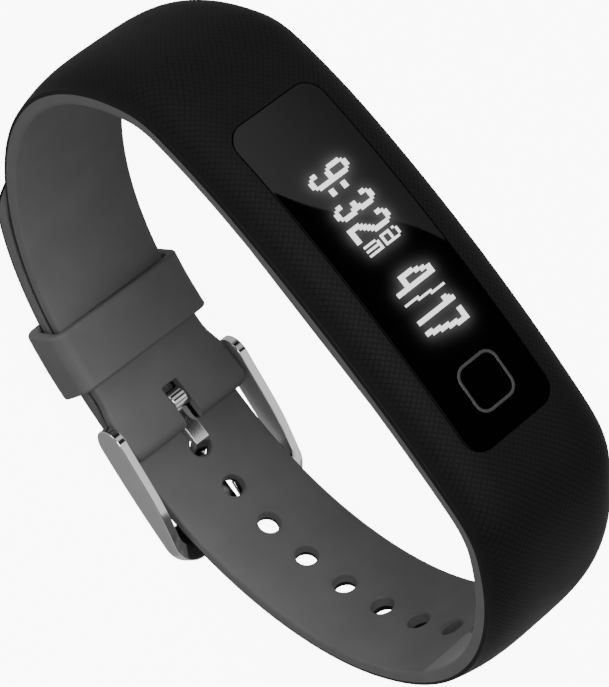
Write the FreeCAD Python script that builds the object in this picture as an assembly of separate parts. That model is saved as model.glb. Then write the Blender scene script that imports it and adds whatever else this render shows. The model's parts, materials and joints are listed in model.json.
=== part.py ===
import FreeCAD, Part
import math
import os

from FreeCAD import Vector

# Fitness tracker band, closed on its buckle. Millimetres.
# Origin: centre of the wrist opening. +Z out of the display, +X along the display towards
# its touch key, +Y along the wrist. The strap from the -X side carries the buckle, the
# strap from the +X side carries the holes and passes outside the buckle strap.

# ---- driving dimensions -------------------------------------------------------------

# Layer line: where the grey lining meets the black outer skin, seen along Y.
crown_x = -0.7                 # middle of the display
crown_z = 27.17
crown_radius = 140.0
corner_radius = 8.0            # shoulders beside the display
buckle_side_arcs = [(crown_radius, 4.9), (56.6, 10.3), (corner_radius, 29.6), (25.8, 44.7), (28.8, 90.5)]
hole_side_arcs = [(crown_radius, 8.3), (20.0, 4.7), (corner_radius, 30.8), (28.8, 91.7), (32.6, 44.5)]

display_width = 18.0           # band width at the display
strap_width = 14.7             # band width at the straps
taper_start_z = -10.4          # the band is strap_width wide below this height
taper_power = 1.35

lining_thickness = 1.23
lining_edge_radius = 0.35
edge_thickness = 0.36          # outer skin at its side edges
display_crown = 2.75           # outer skin along its middle, at the display
strap_crown = 0.7              # outer skin along its middle, at the straps
crown_fade_start = 18.0        # distance from the display's middle, along the band
crown_fade_end = 60.0
display_squareness = 5.5       # how square the outer skin's section is
strap_squareness = 3.0

layer_gap = 0.12               # between the two straps where they overlap
tail_end_angle = 60.0          # tip of the hole strap, from the lowest point
tail_corner_radius = 5.5

# Adjustment holes
hole_radius = 1.2
hole_pitch = 5.65
tongue_hole_x = 1.7
holes_before_tongue = 3        # towards the tip
holes_after_tongue = 9         # towards the display
hole_rim = 0.2

# Buckle end of the strap, and the spring bar in it
barrel_length = 4.33
barrel_half_width = 8.0
barrel_corner_radius = 1.0
flare_length = 3.4
barrel_ramp = 1.7               # length over which the strap thickens into its rolled end
pivot_from_end = 3.0
tongue_slot_half_width = 1.08
tongue_slot_length = 4.8
bar_bore_radius = 0.72
bar_tube_radius = 0.66
bar_tube_inner_radius = 0.45
bar_tube_half_length = 7.9
bar_crimp_radius = 0.42        # the tube's ends, closed in round the tips
bar_crimp_length = 0.5
tip_radius = 0.38
tip_collar_y = 6.2
tip_reach = 8.85
spring_wire_radius = 0.09
spring_coil_radius = 0.3
spring_turns = 14

# Buckle frame and tongue
plate_inner_y = 8.2
plate_thickness = 1.0
plate_end_radius = 2.1
plate_slope = 15.0             # the plates fall away towards the front bar, degrees
frame_reach = 14.3             # pivot to the front bar's middle
front_bar_depth = 1.9
front_bar_height = 1.5
front_bar_drop = 0.45
front_floor_depth = 4.2        # thin shelf behind the front bar, under the strap
front_floor_thickness = 0.5
plate_front_height = 2.7
frame_corner_radius = 2.6
tip_hole_radius = 0.43
tip_hole_reach = 8.95          # the holes stop short of the plates' outer faces
tongue_half_width = 0.92
tongue_thickness = 0.9
knuckle_radius = 1.16
tongue_notch_depth = 0.75
tongue_notch_half_width = 1.16

# Keeper
keeper_start_angle = 9.8
keeper_end_angle = 24.3
keeper_clearance = 0.22
keeper_wall = 1.15
keeper_side_clearance = 0.3
keeper_corner_radius = 1.6

# Tracker pod
lens_length = 36.3
lens_width = 10.9
lens_corner_radius = 2.0
lens_thickness = 0.9
window_gap = 0.1
lens_tape_thickness = 0.15
pod_length = 43.2
pod_width = 14.7
pod_corner_radius = 3.2
pod_gap = 0.1
flange_top_z = 26.8
case_split_z = 24.6
pod_back_z = 22.2
seal_thickness = 0.3
back_edge_radius = 0.9
case_wall = 1.1
flange_roof = 0.9
boss_wall = 1.1
key_x = 12.55
key_size = 4.9
key_line = 0.3
key_corner_radius = 1.3
key_depth = 0.1
lens_under = display_crown - lens_thickness
boss_top = lens_under - lens_tape_thickness
boss_length = lens_length - 0.2
boss_width = lens_width - 0.2
boss_opening_length = boss_length - 2 * boss_wall
boss_opening_width = boss_width - 2 * boss_wall
boss_opening_radius = 0.8

# Inside the pod
board_z = 25.15                # underside of the board
board_thickness = 0.6
board_length = 36.0
board_width = 7.9
panel_z = 27.05
panel_x = crown_x - 3.15
panel_length = 25.0
panel_width = 8.0
panel_thickness = 0.75
flex_width = 4.0
flex_half_thickness = 0.06
flex_landing = 1.6             # length of the ribbon lying on the board
battery_x = crown_x - 2.8
battery_length = 25.0
battery_width = 10.6
battery_pad_length = 10.0
tray_z = pod_back_z + 0.85     # just above the back cover's floor
motor_x = crown_x + 15.3
motor_radius = 3.6
motor_height = 1.9

# Screws and charging contacts
post_radius = 1.15             # in the top case
back_post_radius = 1.3         # in the back cover
screw_head_radius = 0.85
screw_head_height = 0.45
screw_shank_radius = 0.47
screw_inset = 2.6              # from the pod's edges
contact_radius = 0.9
contact_flange_radius = 1.15
contact_pitch = 2.8
contact_row_x = crown_x + 3.0
contact_count = 4


# ---- plane curves -------------------------------------------------------------------

class ArcChain:
    """Tangent arcs in the XZ plane that all turn the same way, each (radius, degrees)."""

    def __init__(self, x, z, heading, turn, arcs):
        self.turn = turn
        self.pieces = []
        for radius, degrees in arcs:
            centre_x = x - turn * radius * math.sin(heading)
            centre_z = z + turn * radius * math.cos(heading)
            angle = math.radians(degrees)
            self.pieces.append((centre_x, centre_z, radius, heading, angle))
            heading += turn * angle
            x = centre_x + turn * radius * math.sin(heading)
            z = centre_z - turn * radius * math.cos(heading)
        self.end_x = x
        self.end_z = z
        self.end_heading = heading

    def stations(self, step_degrees=6.0, step_length=4.0):
        """One list per arc: (x, z, outward normal x, z, distance from the start) along it."""
        lists = []
        travelled = 0.0
        for centre_x, centre_z, radius, heading, angle in self.pieces:
            count = max(2, math.ceil(max(math.degrees(angle) / step_degrees, radius * angle / step_length)))
            found = []
            for index in range(count + 1):
                turned = angle * index / count
                pose = self.pose_on(centre_x, centre_z, radius, heading + self.turn * turned)
                found.append(pose + (travelled + radius * turned,))
            lists.append(found)
            travelled += radius * angle
        return lists

    def pose_on(self, centre_x, centre_z, radius, heading):
        normal_x = self.turn * math.sin(heading)
        normal_z = -self.turn * math.cos(heading)
        return (centre_x + radius * normal_x, centre_z + radius * normal_z, normal_x, normal_z)

    def pose_at(self, distance):
        for centre_x, centre_z, radius, heading, angle in self.pieces:
            if distance <= radius * angle:
                return self.pose_on(centre_x, centre_z, radius, heading + self.turn * distance / radius)
            distance -= radius * angle
        return self.pose_on(centre_x, centre_z, radius, self.end_heading)

    def length(self):
        return sum(radius * angle for _, _, radius, _, angle in self.pieces)


def fade(value, start, end):
    t = min(max((value - start) / (end - start), 0.0), 1.0)
    return t * t * (3.0 - 2.0 * t)


buckle_chain = ArcChain(crown_x, crown_z, math.pi, 1, buckle_side_arcs)
loop_centre_x, loop_centre_z, loop_radius = buckle_chain.pieces[-1][:3]

tail_offset = strap_crown + layer_gap + lining_thickness
tail_radius = loop_radius + tail_offset


def hole_side_chain():
    """The hole strap: its own arcs, then one that joins it to the outside of the buckle strap."""
    first = ArcChain(crown_x, crown_z, 0.0, -1, hole_side_arcs)
    drop = loop_centre_z - tail_radius - first.end_z
    run = first.end_x - loop_centre_x
    join = 2.0 * math.atan(drop / run)
    join_radius = tail_radius + run / math.sin(join)
    join_degrees = math.degrees(join)
    joined = [(join_radius, join_degrees), (tail_radius, tail_end_angle - join_degrees)]
    return ArcChain(crown_x, crown_z, 0.0, -1, hole_side_arcs + joined)


hole_chain = hole_side_chain()

pivot_x = buckle_chain.end_x + barrel_length - pivot_from_end
pivot_z = buckle_chain.end_z


# ---- small helpers ------------------------------------------------------------------

def box(x0, x1, y0, y1, z0, z1):
    return Part.makeBox(x1 - x0, y1 - y0, z1 - z0, Vector(x0, y0, z0))


def rounded_block(cx, cy, length, width, radius, z0, z1):
    """A block along Z whose outline is a rectangle with round corners."""
    block = box(cx - length / 2, cx + length / 2, cy - width / 2, cy + width / 2, z0, z1)
    upright = [e for e in block.Edges if abs(e.Vertexes[0].Z - e.Vertexes[1].Z) > 0.5 * (z1 - z0)]
    return block.makeFillet(radius, upright)


def rod(radius, y0, y1, x, z):
    return Part.makeCylinder(radius, y1 - y0, Vector(x, y0, z), Vector(0, 1, 0))


def plate_xz(points, y0, y1):
    """A flat outline in the XZ plane, given thickness from y0 to y1."""
    corners = [Vector(x, y0, z) for x, z in points]
    wire = Part.makePolygon(corners + corners[:1])
    return Part.Face(wire).extrude(Vector(0, y1 - y0, 0))


def fuse_all(shapes):
    result = shapes[0]
    for shape in shapes[1:]:
        result = result.fuse(shape)
    return result.removeSplitter()


def spline(points):
    curve = Part.BSplineCurve()
    curve.interpolate(points)
    return curve.toShape()


def save(name, shape):
    solids = shape.Solids
    result = solids[0] if len(solids) == 1 else Part.makeCompound(solids)
    if not result.isValid():
        print("NOT VALID:", name)
    result.exportStep("parts/%s.step" % name)
    size = result.BoundBox
    print("%-22s solids %2d  x %6.2f %6.2f  y %6.2f %6.2f  z %6.2f %6.2f  volume %.1f" % (
        name, len(solids), size.XMin, size.XMax, size.YMin, size.YMax, size.ZMin, size.ZMax, result.Volume))


# ---- band ---------------------------------------------------------------------------

def half_width(z):
    t = max((z - taper_start_z) / (crown_z - taper_start_z), 0.0)
    return 0.5 * (strap_width + (display_width - strap_width) * min(t, 1.0) ** taper_power)


def skin_height(y_part, distance, rolled):
    """Height of the outer skin over the layer line, y_part being 0 in the middle, 1 at the edge.
    rolled is 1 where the strap's end wraps the spring bar, and 0 elsewhere."""
    faded = fade(distance, crown_fade_start, crown_fade_end)
    crown = display_crown + (strap_crown - display_crown) * faded
    power = display_squareness + (strap_squareness - display_squareness) * faded
    plain = edge_thickness + (crown - edge_thickness) * (1.0 - abs(y_part) ** power)
    return plain + (lining_thickness - plain) * rolled


def at(pose, y, off):
    x, z, normal_x, normal_z = pose[:4]
    return Vector(x + normal_x * off, y, z + normal_z * off)


def skin_section(pose, half):
    steps = [-1.0, -0.93, -0.82, -0.65, -0.35, 0.0, 0.35, 0.65, 0.82, 0.93, 1.0]
    top = [at(pose, half * t, skin_height(t, pose[4], pose[5])) for t in steps]
    low = at(pose, -half, 0.0)
    high = at(pose, half, 0.0)
    edges = [Part.makeLine(high, low), Part.makeLine(low, top[0]), spline(top), Part.makeLine(top[-1], high)]
    return Part.Wire(edges)


def lining_section(pose, half):
    r = lining_edge_radius
    t = lining_thickness
    bend = r * (1.0 - math.sqrt(0.5))
    p = [at(pose, -half, 0.0), at(pose, half, 0.0), at(pose, half, r - t), at(pose, half - bend, bend - t),
         at(pose, half - r, -t), at(pose, r - half, -t), at(pose, bend - half, bend - t), at(pose, -half, r - t)]
    edges = [Part.makeLine(p[0], p[1]), Part.makeLine(p[1], p[2]), Part.Arc(p[2], p[3], p[4]).toShape(),
             Part.makeLine(p[4], p[5]), Part.Arc(p[5], p[6], p[7]).toShape(), Part.makeLine(p[7], p[0])]
    return Part.Wire(edges)


def barrel_stations():
    """The straight rolled end: the ramp that thickens it, then its even part."""
    lists = []
    for first, last in ((0.0, barrel_ramp), (barrel_ramp, barrel_length)):
        found = []
        count = 4
        for index in range(count + 1):
            run = first + (last - first) * index / count
            rolled = fade(run, 0.0, barrel_ramp)
            found.append((buckle_chain.end_x + run, buckle_chain.end_z, 0.0, -1.0,
                          buckle_chain.length() + run, rolled))
        lists.append(found)
    return lists


def buckle_side_width(pose):
    """Follows the taper; the buckle end flares out to the width of its rolled end."""
    half = half_width(pose[1])
    before_end = max(buckle_chain.length() - pose[4], 0.0)
    return half + (barrel_half_width - half) * (1.0 - fade(before_end, 0.0, flare_length))


def loft_band(section):
    """One loft for each arc of the band, joined end to end."""
    lofts = []
    flat = (0.0,)
    buckle_side = [[pose + flat for pose in found] for found in buckle_chain.stations()]
    for found in buckle_side + barrel_stations():
        wires = [section(pose, buckle_side_width(pose)) for pose in found]
        lofts.append(Part.makeLoft(wires, True, False, False, 3))
    for found in hole_chain.stations():
        wires = [section(pose + flat, half_width(pose[1])) for pose in found]
        lofts.append(Part.makeLoft(wires, True, False, False, 3))
    return lofts[0].multiFuse(lofts[1:])


def nose_cutter():
    """Rounds the rolled end over, seen along Y, and its two corners, seen along Z."""
    end_x = buckle_chain.end_x + barrel_length
    r = lining_thickness
    nose_x = end_x - r
    z = pivot_z
    corners = [Vector(nose_x, 0, z + r), Vector(nose_x, 0, z + 3), Vector(end_x + 2, 0, z + 3),
               Vector(end_x + 2, 0, z - 1.8), Vector(nose_x, 0, z - 1.8), Vector(nose_x, 0, z - r)]
    edges = [Part.makeLine(corners[i], corners[i + 1]) for i in range(5)]
    edges.append(Part.Arc(corners[5], Vector(end_x, 0, z), corners[0]).toShape())
    nose = Part.Face(Part.Wire(edges)).extrude(Vector(0, 24, 0))
    nose.translate(Vector(0, -12, 0))
    plan = rounded_block(end_x - 8.0, 0, 16.0, 2 * barrel_half_width + 0.02, barrel_corner_radius, z - 1.8, z + 4)
    return nose.fuse(box(end_x - 2.0, end_x + 1.0, -10, 10, z - 1.6, z + 3).cut(plan))


def tongue_slot():
    end_x = buckle_chain.end_x + barrel_length
    start_x = end_x - tongue_slot_length
    half = tongue_slot_half_width
    return box(start_x, end_x + 1.0, -half, half, pivot_z - 1.6, pivot_z + 2.0)


def hole_distances():
    """Distances of the adjustment holes along the hole strap, the tongue's hole among them."""
    end_of_arcs = sum(radius * math.radians(degrees) for radius, degrees in hole_side_arcs)
    middle = end_of_arcs + hole_chain.pieces[5][0] - tongue_hole_x
    return [middle + hole_pitch * k for k in range(-holes_after_tongue + 1, holes_before_tongue + 1)]


def hole_cutter(distance):
    """A round hole through the strap with its rims eased, square to the strap."""
    x, z, normal_x, normal_z = hole_chain.pose_at(distance)
    outward = Vector(normal_x, 0, normal_z)
    inner = Vector(x, 0, z) - outward * lining_thickness
    shaft = Part.makeCylinder(hole_radius, 5.0, inner - outward * 1.0, outward)
    wide = hole_radius + hole_rim
    inner_rim = Part.makeCone(wide + hole_rim, hole_radius, 2 * hole_rim, inner - outward * hole_rim, outward)
    outer = Vector(x, 0, z) + outward * skin_height(0.0, distance, 0.0)
    outer_rim = Part.makeCone(hole_radius, wide + hole_rim, 2 * hole_rim, outer - outward * hole_rim, outward)
    return shaft.fuse(inner_rim).fuse(outer_rim)


def tail_tip_cutter():
    """Removes the corners of the hole strap's tip, leaving them round."""
    half = strap_width / 2
    r = tail_corner_radius
    sharp = box(-half - 1, half + 1, -1, r + 0.5, -4, 4)
    keep = box(-half - 2, half + 2, -2, 0.001, -5, 5)
    middle = box(-half + r, half - r, -1, r, -5, 5)
    corners = [Part.makeCylinder(r, 10, Vector(side * (half - r), 0, -5)) for side in (-1, 1)]
    cutter = sharp.cut(fuse_all([keep, middle] + corners))
    x, z, normal_x, normal_z = hole_chain.pose_at(hole_chain.length() - r)
    outward = Vector(normal_x, 0, normal_z)
    across = Vector(0, -1, 0)
    along = outward.cross(across)
    place = FreeCAD.Matrix(across.x, along.x, outward.x, x, across.y, along.y, outward.y, 0,
                           across.z, along.z, outward.z, z, 0, 0, 0, 1)
    cutter.transformShape(place)
    outside_buckle_strap = ring_sector(tail_radius - lining_thickness - layer_gap / 2, tail_radius + 3.0, half + 1.0,
                                       tail_end_angle - 20.0, tail_end_angle + 5.0)
    return cutter.common(outside_buckle_strap)


def lens_prism(grow=0.0):
    return rounded_block(crown_x, 0, lens_length + 2 * grow, lens_width + 2 * grow, lens_corner_radius + grow,
                         pod_back_z, crown_z + 6)


def pod_cavity():
    flange = rounded_block(crown_x, 0, pod_length + 2 * pod_gap, pod_width + 2 * pod_gap,
                           pod_corner_radius + pod_gap, pod_back_z - 6, flange_top_z + pod_gap)
    return flange.fuse(lens_prism(window_gap))


def make_band():
    """Returns the outer skin, the lining, and the uncut display surface for the lens."""
    skin = loft_band(skin_section)
    lining = loft_band(lining_section)
    display_surface = skin
    bore = rod(bar_bore_radius, -12, 12, pivot_x, pivot_z)
    cutters = [nose_cutter(), tongue_slot(), bore, pod_cavity(), tail_tip_cutter()]
    cutters += [hole_cutter(distance) for distance in hole_distances()]
    return skin.cut(cutters), lining.cut(cutters), display_surface


# ---- keeper -------------------------------------------------------------------------

def ring_sector(inner, outer, half_y, start, end):
    """Part of a ring about the buckle strap's arc, between two angles from its lowest point."""
    profile = box(loop_centre_x + inner, loop_centre_x + outer, -half_y, half_y, loop_centre_z, loop_centre_z + 1)
    face = [f for f in profile.Faces if abs(f.CenterOfMass.z - loop_centre_z) < 1e-6][0]
    centre = Vector(loop_centre_x, 0, loop_centre_z)
    solid = face.revolve(centre, Vector(0, 1, 0), end - start)
    solid.rotate(centre, Vector(0, 1, 0), 90 + start)
    return solid


def make_keeper():
    inner_face = loop_radius - lining_thickness - keeper_clearance
    outer_face = tail_radius + strap_crown + keeper_clearance + 0.1
    inner_y = strap_width / 2 + keeper_side_clearance
    outside = ring_sector(inner_face - keeper_wall, outer_face + keeper_wall, inner_y + keeper_wall,
                          keeper_start_angle, keeper_end_angle)
    long_edges = [e for e in outside.Edges if e.Curve.TypeId == "Part::GeomCircle"]
    outside = outside.makeFillet(keeper_corner_radius, long_edges)
    hollow = ring_sector(inner_face, outer_face, inner_y, keeper_start_angle - 2, keeper_end_angle + 2)
    hollow_edges = [e for e in hollow.Edges if e.Curve.TypeId == "Part::GeomCircle"]
    hollow = hollow.makeFillet(0.5, hollow_edges)
    return outside.cut(hollow)


# ---- buckle -------------------------------------------------------------------------

def frame_local(x, z):
    """From the frame's own axes (x along its plates, from the pivot) to the part's."""
    slope = math.radians(plate_slope)
    return (pivot_x + x * math.cos(slope) + z * math.sin(slope), pivot_z - x * math.sin(slope) + z * math.cos(slope))


def place_frame(shape):
    shape.rotate(Vector(0, 0, 0), Vector(0, 1, 0), plate_slope)
    shape.translate(Vector(pivot_x, 0, pivot_z))
    return shape


def make_frame():
    """U-shaped frame: two side plates joined by a front bar, its corners round seen from above."""
    outer_y = plate_inner_y + plate_thickness
    front = frame_reach + front_bar_depth / 2
    plan_out = rounded_block(front / 2 - 10, 0, front + 20, 2 * outer_y, frame_corner_radius, -6, 6)
    inner_front = frame_reach - front_bar_depth / 2
    plan_in = rounded_block(inner_front / 2 - 10, 0, inner_front + 20, 2 * plate_inner_y,
                            frame_corner_radius - plate_thickness, -7, 7)
    side = side_view().extrude(Vector(0, 2 * outer_y, 0))
    side.translate(Vector(0, -outer_y, 0))
    frame = side.common(plan_out).cut(plan_in)
    floor_low = -front_bar_drop - front_bar_height / 2
    floor = box(inner_front - front_floor_depth + front_bar_depth, inner_front + 0.3, -plate_inner_y - 0.3,
                plate_inner_y + 0.3, floor_low, floor_low + front_floor_thickness)
    frame = frame.fuse(floor.common(plan_out))
    notch_floor = -front_bar_drop - front_bar_height / 2 + tongue_notch_depth
    frame = frame.cut(box(frame_reach - 6, frame_reach + 3, -tongue_notch_half_width, tongue_notch_half_width,
                          -6, notch_floor))
    frame = place_frame(frame)
    return frame.cut(rod(tip_hole_radius, -tip_hole_reach, tip_hole_reach, pivot_x, pivot_z))


def side_view():
    """Outline of the frame from the side: round about the pivot, tapering to the front bar."""
    r = plate_end_radius
    bar_top = -front_bar_drop + front_bar_height / 2
    bar_low = -front_bar_drop - front_bar_height / 2
    end = frame_reach + front_bar_depth / 2
    h = plate_front_height / 2
    top = [(0, r), (3.4, r - 0.1), (8.6, h + 0.3), (12.2, bar_top + 0.5), (end, bar_top)]
    low = [(end, bar_low), (12.6, bar_low - 0.3), (9.0, -h - 0.5), (4.2, -r), (0, -r)]
    upper = [Vector(x, 0, z) for x, z in top]
    lower = [Vector(x, 0, z) for x, z in low]
    edges = [spline(upper), Part.makeLine(upper[-1], lower[0]), spline(lower)]
    edges.append(Part.Arc(lower[-1], Vector(-r, 0, 0), upper[0]).toShape())
    return Part.Face(Part.Wire(edges))


def make_tongue():
    """Knuckle round the spring bar, a step down to the blade, through its hole to the front bar."""
    t = tongue_thickness
    hole_inner_z = hole_chain.pose_at(hole_distances()[holes_after_tongue - 1])[1] + lining_thickness
    strap_outer_z = hole_inner_z - lining_thickness - strap_crown
    upper_z = hole_inner_z + 0.3 + t / 2
    lower_z = strap_outer_z - 0.42 - t / 2
    tip_x, tip_z = frame_local(frame_reach + front_bar_depth / 2 - 0.1, -front_bar_drop - front_bar_height / 2)
    tip_z += tongue_notch_depth - t / 2 - 0.06
    mid_x = tongue_hole_x
    centre = [(pivot_x + 0.4, upper_z + 0.1), (mid_x - 0.62, upper_z), (mid_x + 0.7, lower_z),
              (tip_x - 3.0, tip_z + 0.12), (tip_x, tip_z)]
    blade = thick_path(centre, t / 2)
    knuckle = rod(knuckle_radius, -tongue_half_width, tongue_half_width, pivot_x, pivot_z)
    tongue = knuckle.fuse(blade)
    tongue = tongue.cut(rod(bar_tube_radius + 0.05, -2, 2, pivot_x, pivot_z))
    return tongue.removeSplitter()


def thick_path(centre, half):
    """A bent strip of even thickness along a line in the XZ plane, tongue_half_width to each side."""
    upper = []
    lower = []
    for index, (x, z) in enumerate(centre):
        before = centre[max(index - 1, 0)]
        after = centre[min(index + 1, len(centre) - 1)]
        first = math.atan2(z - before[1], x - before[0]) if index > 0 else None
        second = math.atan2(after[1] - z, after[0] - x) if index < len(centre) - 1 else None
        first = second if first is None else first
        second = first if second is None else second
        middle = (first + second) / 2
        reach = half / math.cos((second - first) / 2)
        upper.append((x - reach * math.sin(middle), z + reach * math.cos(middle)))
        lower.append((x + reach * math.sin(middle), z - reach * math.cos(middle)))
    return plate_xz(upper + list(reversed(lower)), -tongue_half_width, tongue_half_width)


def make_bar_tube():
    tube = rod(bar_tube_radius, -bar_tube_half_length, bar_tube_half_length, pivot_x, pivot_z)
    inner_end = bar_tube_half_length - bar_crimp_length
    tube = tube.cut(rod(bar_tube_inner_radius, -inner_end, inner_end, pivot_x, pivot_z))
    return tube.cut(rod(bar_crimp_radius, -12, 12, pivot_x, pivot_z))


def make_bar_tip(side):
    """A stepped pin: its thin end sits in the frame, its collar slides inside the tube."""
    ends = sorted((side * tip_collar_y, side * (tip_collar_y + 1.15)))
    collar = rod(bar_tube_inner_radius - 0.02, ends[0], ends[1], pivot_x, pivot_z)
    ends = sorted((side * tip_collar_y, side * tip_reach))
    return collar.fuse(rod(tip_radius, ends[0], ends[1], pivot_x, pivot_z)).removeSplitter()


def make_bar_spring():
    length = 2 * tip_collar_y - 0.4
    pitch = length / spring_turns
    helix = Part.makeHelix(pitch, length, spring_coil_radius)
    start = Part.Wire([Part.makeCircle(spring_wire_radius, Vector(spring_coil_radius, 0, 0), Vector(0, 1, 0))])
    spring = Part.Wire(helix.Edges).makePipeShell([start], True, True)
    spring.rotate(Vector(0, 0, 0), Vector(1, 0, 0), -90)
    spring.translate(Vector(pivot_x, -length / 2, pivot_z))
    return spring


# ---- tracker pod --------------------------------------------------------------------

def loop_slab(low, high, span):
    """The space between two heights over the layer line, to span on each side of the display's middle."""
    def line(off):
        points = [at(hole_chain.pose_at(span * k / 12), -12, off) for k in range(12, 0, -1)]
        points += [at(buckle_chain.pose_at(span * k / 12), -12, off) for k in range(13)]
        return points
    upper = line(high)
    lower = line(low)
    edges = [spline(upper), Part.makeLine(upper[-1], lower[-1]), spline(lower), Part.makeLine(lower[0], upper[0])]
    return Part.Face(Part.Wire(edges)).extrude(Vector(0, 24, 0))


def key_prism():
    outer = rounded_block(key_x, 0, key_size, key_size, key_corner_radius, crown_z, crown_z + 4)
    inner = rounded_block(key_x, 0, key_size - 2 * key_line, key_size - 2 * key_line, key_corner_radius - key_line,
                          crown_z - 1, crown_z + 5)
    return outer.cut(inner)


def make_lens(display_surface):
    """Flush with the outer skin, with the touch key's line let into it."""
    lens = display_surface.common(lens_prism()).common(loop_slab(lens_under, display_crown + 1, 24))
    line = key_prism().common(loop_slab(display_crown - key_depth, display_crown + 1, 24))
    outline = display_surface.common(line)
    return lens.cut(line), outline


def make_lens_tape():
    outer = rounded_block(crown_x, 0, boss_length, boss_width, lens_corner_radius, crown_z - 4, crown_z + 4)
    inner = rounded_block(crown_x, 0, boss_opening_length, boss_opening_width,
                          boss_opening_radius, crown_z - 5, crown_z + 5)
    return outer.cut(inner).common(loop_slab(boss_top, lens_under, 24))


def make_top_case():
    flange = rounded_block(crown_x, 0, pod_length, pod_width, pod_corner_radius, case_split_z, flange_top_z)
    boss = rounded_block(crown_x, 0, boss_length, boss_width, lens_corner_radius, flange_top_z - 0.5, crown_z + 4)
    case = flange.fuse(boss.common(loop_slab(-6, boss_top, 24)))
    hollow = rounded_block(crown_x, 0, pod_length - 2 * case_wall, pod_width - 2 * case_wall,
                           pod_corner_radius - case_wall, case_split_z - 1, flange_top_z - flange_roof)
    opening = rounded_block(crown_x, 0, boss_opening_length, boss_opening_width, boss_opening_radius,
                            case_split_z, crown_z + 5)
    case = case.cut(hollow).cut(opening)
    for x, y in screw_places():
        post = Part.makeCylinder(post_radius, flange_top_z - 0.3 - case_split_z, Vector(x, y, case_split_z))
        case = case.fuse(post)
    for x, y in screw_places():
        case = case.cut(Part.makeCylinder(screw_shank_radius + 0.03, 1.3, Vector(x, y, case_split_z - 0.1)))
    return case.removeSplitter()


def screw_places():
    x = pod_length / 2 - screw_inset
    y = pod_width / 2 - screw_inset
    return [(crown_x + sx * x, sy * y) for sx in (-1, 1) for sy in (-1, 1)]


def make_back_cover():
    plate = rounded_block(crown_x, 0, pod_length, pod_width, pod_corner_radius, pod_back_z,
                          case_split_z - seal_thickness)
    lowest = [e for e in plate.Edges if e.BoundBox.ZMax < pod_back_z + 0.01]
    plate = plate.makeFillet(back_edge_radius, lowest)
    hollow = rounded_block(crown_x, 0, pod_length - 2 * case_wall, pod_width - 2 * case_wall,
                           pod_corner_radius - case_wall, pod_back_z + 0.8, case_split_z + 1)
    plate = plate.cut(hollow)
    for x, y in screw_places():
        height = case_split_z - 0.35 - pod_back_z
        plate = plate.fuse(Part.makeCylinder(back_post_radius, height, Vector(x, y, pod_back_z + 0.1)))
    for x, y in screw_places():
        plate = plate.cut(Part.makeCylinder(screw_head_radius + 0.1, 0.7, Vector(x, y, pod_back_z - 0.1)))
        plate = plate.cut(Part.makeCylinder(screw_shank_radius + 0.08, 3.0, Vector(x, y, pod_back_z - 0.1)))
    for x in contact_places():
        plate = plate.cut(Part.makeCylinder(contact_radius + 0.02, 3.0, Vector(x, 0, pod_back_z - 1)))
    return plate.removeSplitter()


def contact_places():
    first = contact_row_x - contact_pitch * (contact_count - 1) / 2
    return [first + contact_pitch * k for k in range(contact_count)]


def make_contacts():
    pads = []
    for x in contact_places():
        pad = Part.makeCylinder(contact_radius, 1.0, Vector(x, 0, pod_back_z + 0.1))
        flange = Part.makeCylinder(contact_flange_radius, 0.2, Vector(x, 0, pod_back_z + 0.82))
        pads.append(pad.fuse(flange))
    return Part.makeCompound([pad.removeSplitter().Solids[0] for pad in pads])


def make_screws():
    screws = []
    for x, y in screw_places():
        head = Part.makeCylinder(screw_head_radius, screw_head_height, Vector(x, y, pod_back_z + 0.13))
        slot = box(x - 0.12, x + 0.12, y - 0.6, y + 0.6, pod_back_z, pod_back_z + 0.3)
        cross = box(x - 0.6, x + 0.6, y - 0.12, y + 0.12, pod_back_z, pod_back_z + 0.3)
        head = head.cut(slot).cut(cross)
        shank = Part.makeCylinder(screw_shank_radius, case_split_z + 0.5 - pod_back_z, Vector(x, y, pod_back_z + 0.5))
        screws.append(head.fuse(shank).removeSplitter().Solids[0])
    return Part.makeCompound(screws)


def frame_strip(length, width, radius, thickness, z0, z1):
    outer = rounded_block(crown_x, 0, length, width, radius, z0, z1)
    inner = rounded_block(crown_x, 0, length - 2 * thickness, width - 2 * thickness, radius - thickness, z0 - 1, z1 + 1)
    return outer.cut(inner)


def make_board():
    return rounded_block(crown_x, 0, board_length, board_width, 0.8, board_z, board_z + board_thickness)


def chip(x, y, length, width, height):
    return rounded_block(crown_x + x, y, length, width, 0.15, board_z + board_thickness + 0.01,
                         board_z + board_thickness + height)


def make_small_parts():
    """Capacitors and resistors in two rows along the board."""
    parts = []
    for k in range(9):
        for y in (-3.3, 3.3):
            x = crown_x - 16.2 + 3.4 * k
            z = board_z + board_thickness + 0.01
            parts.append(box(x, x + 1.0, y - 0.25, y + 0.25, z, z + 0.45))
    return Part.makeCompound(parts)


def make_panel():
    return rounded_block(panel_x, 0, panel_length, panel_width, 0.4, panel_z, panel_z + panel_thickness)


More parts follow.
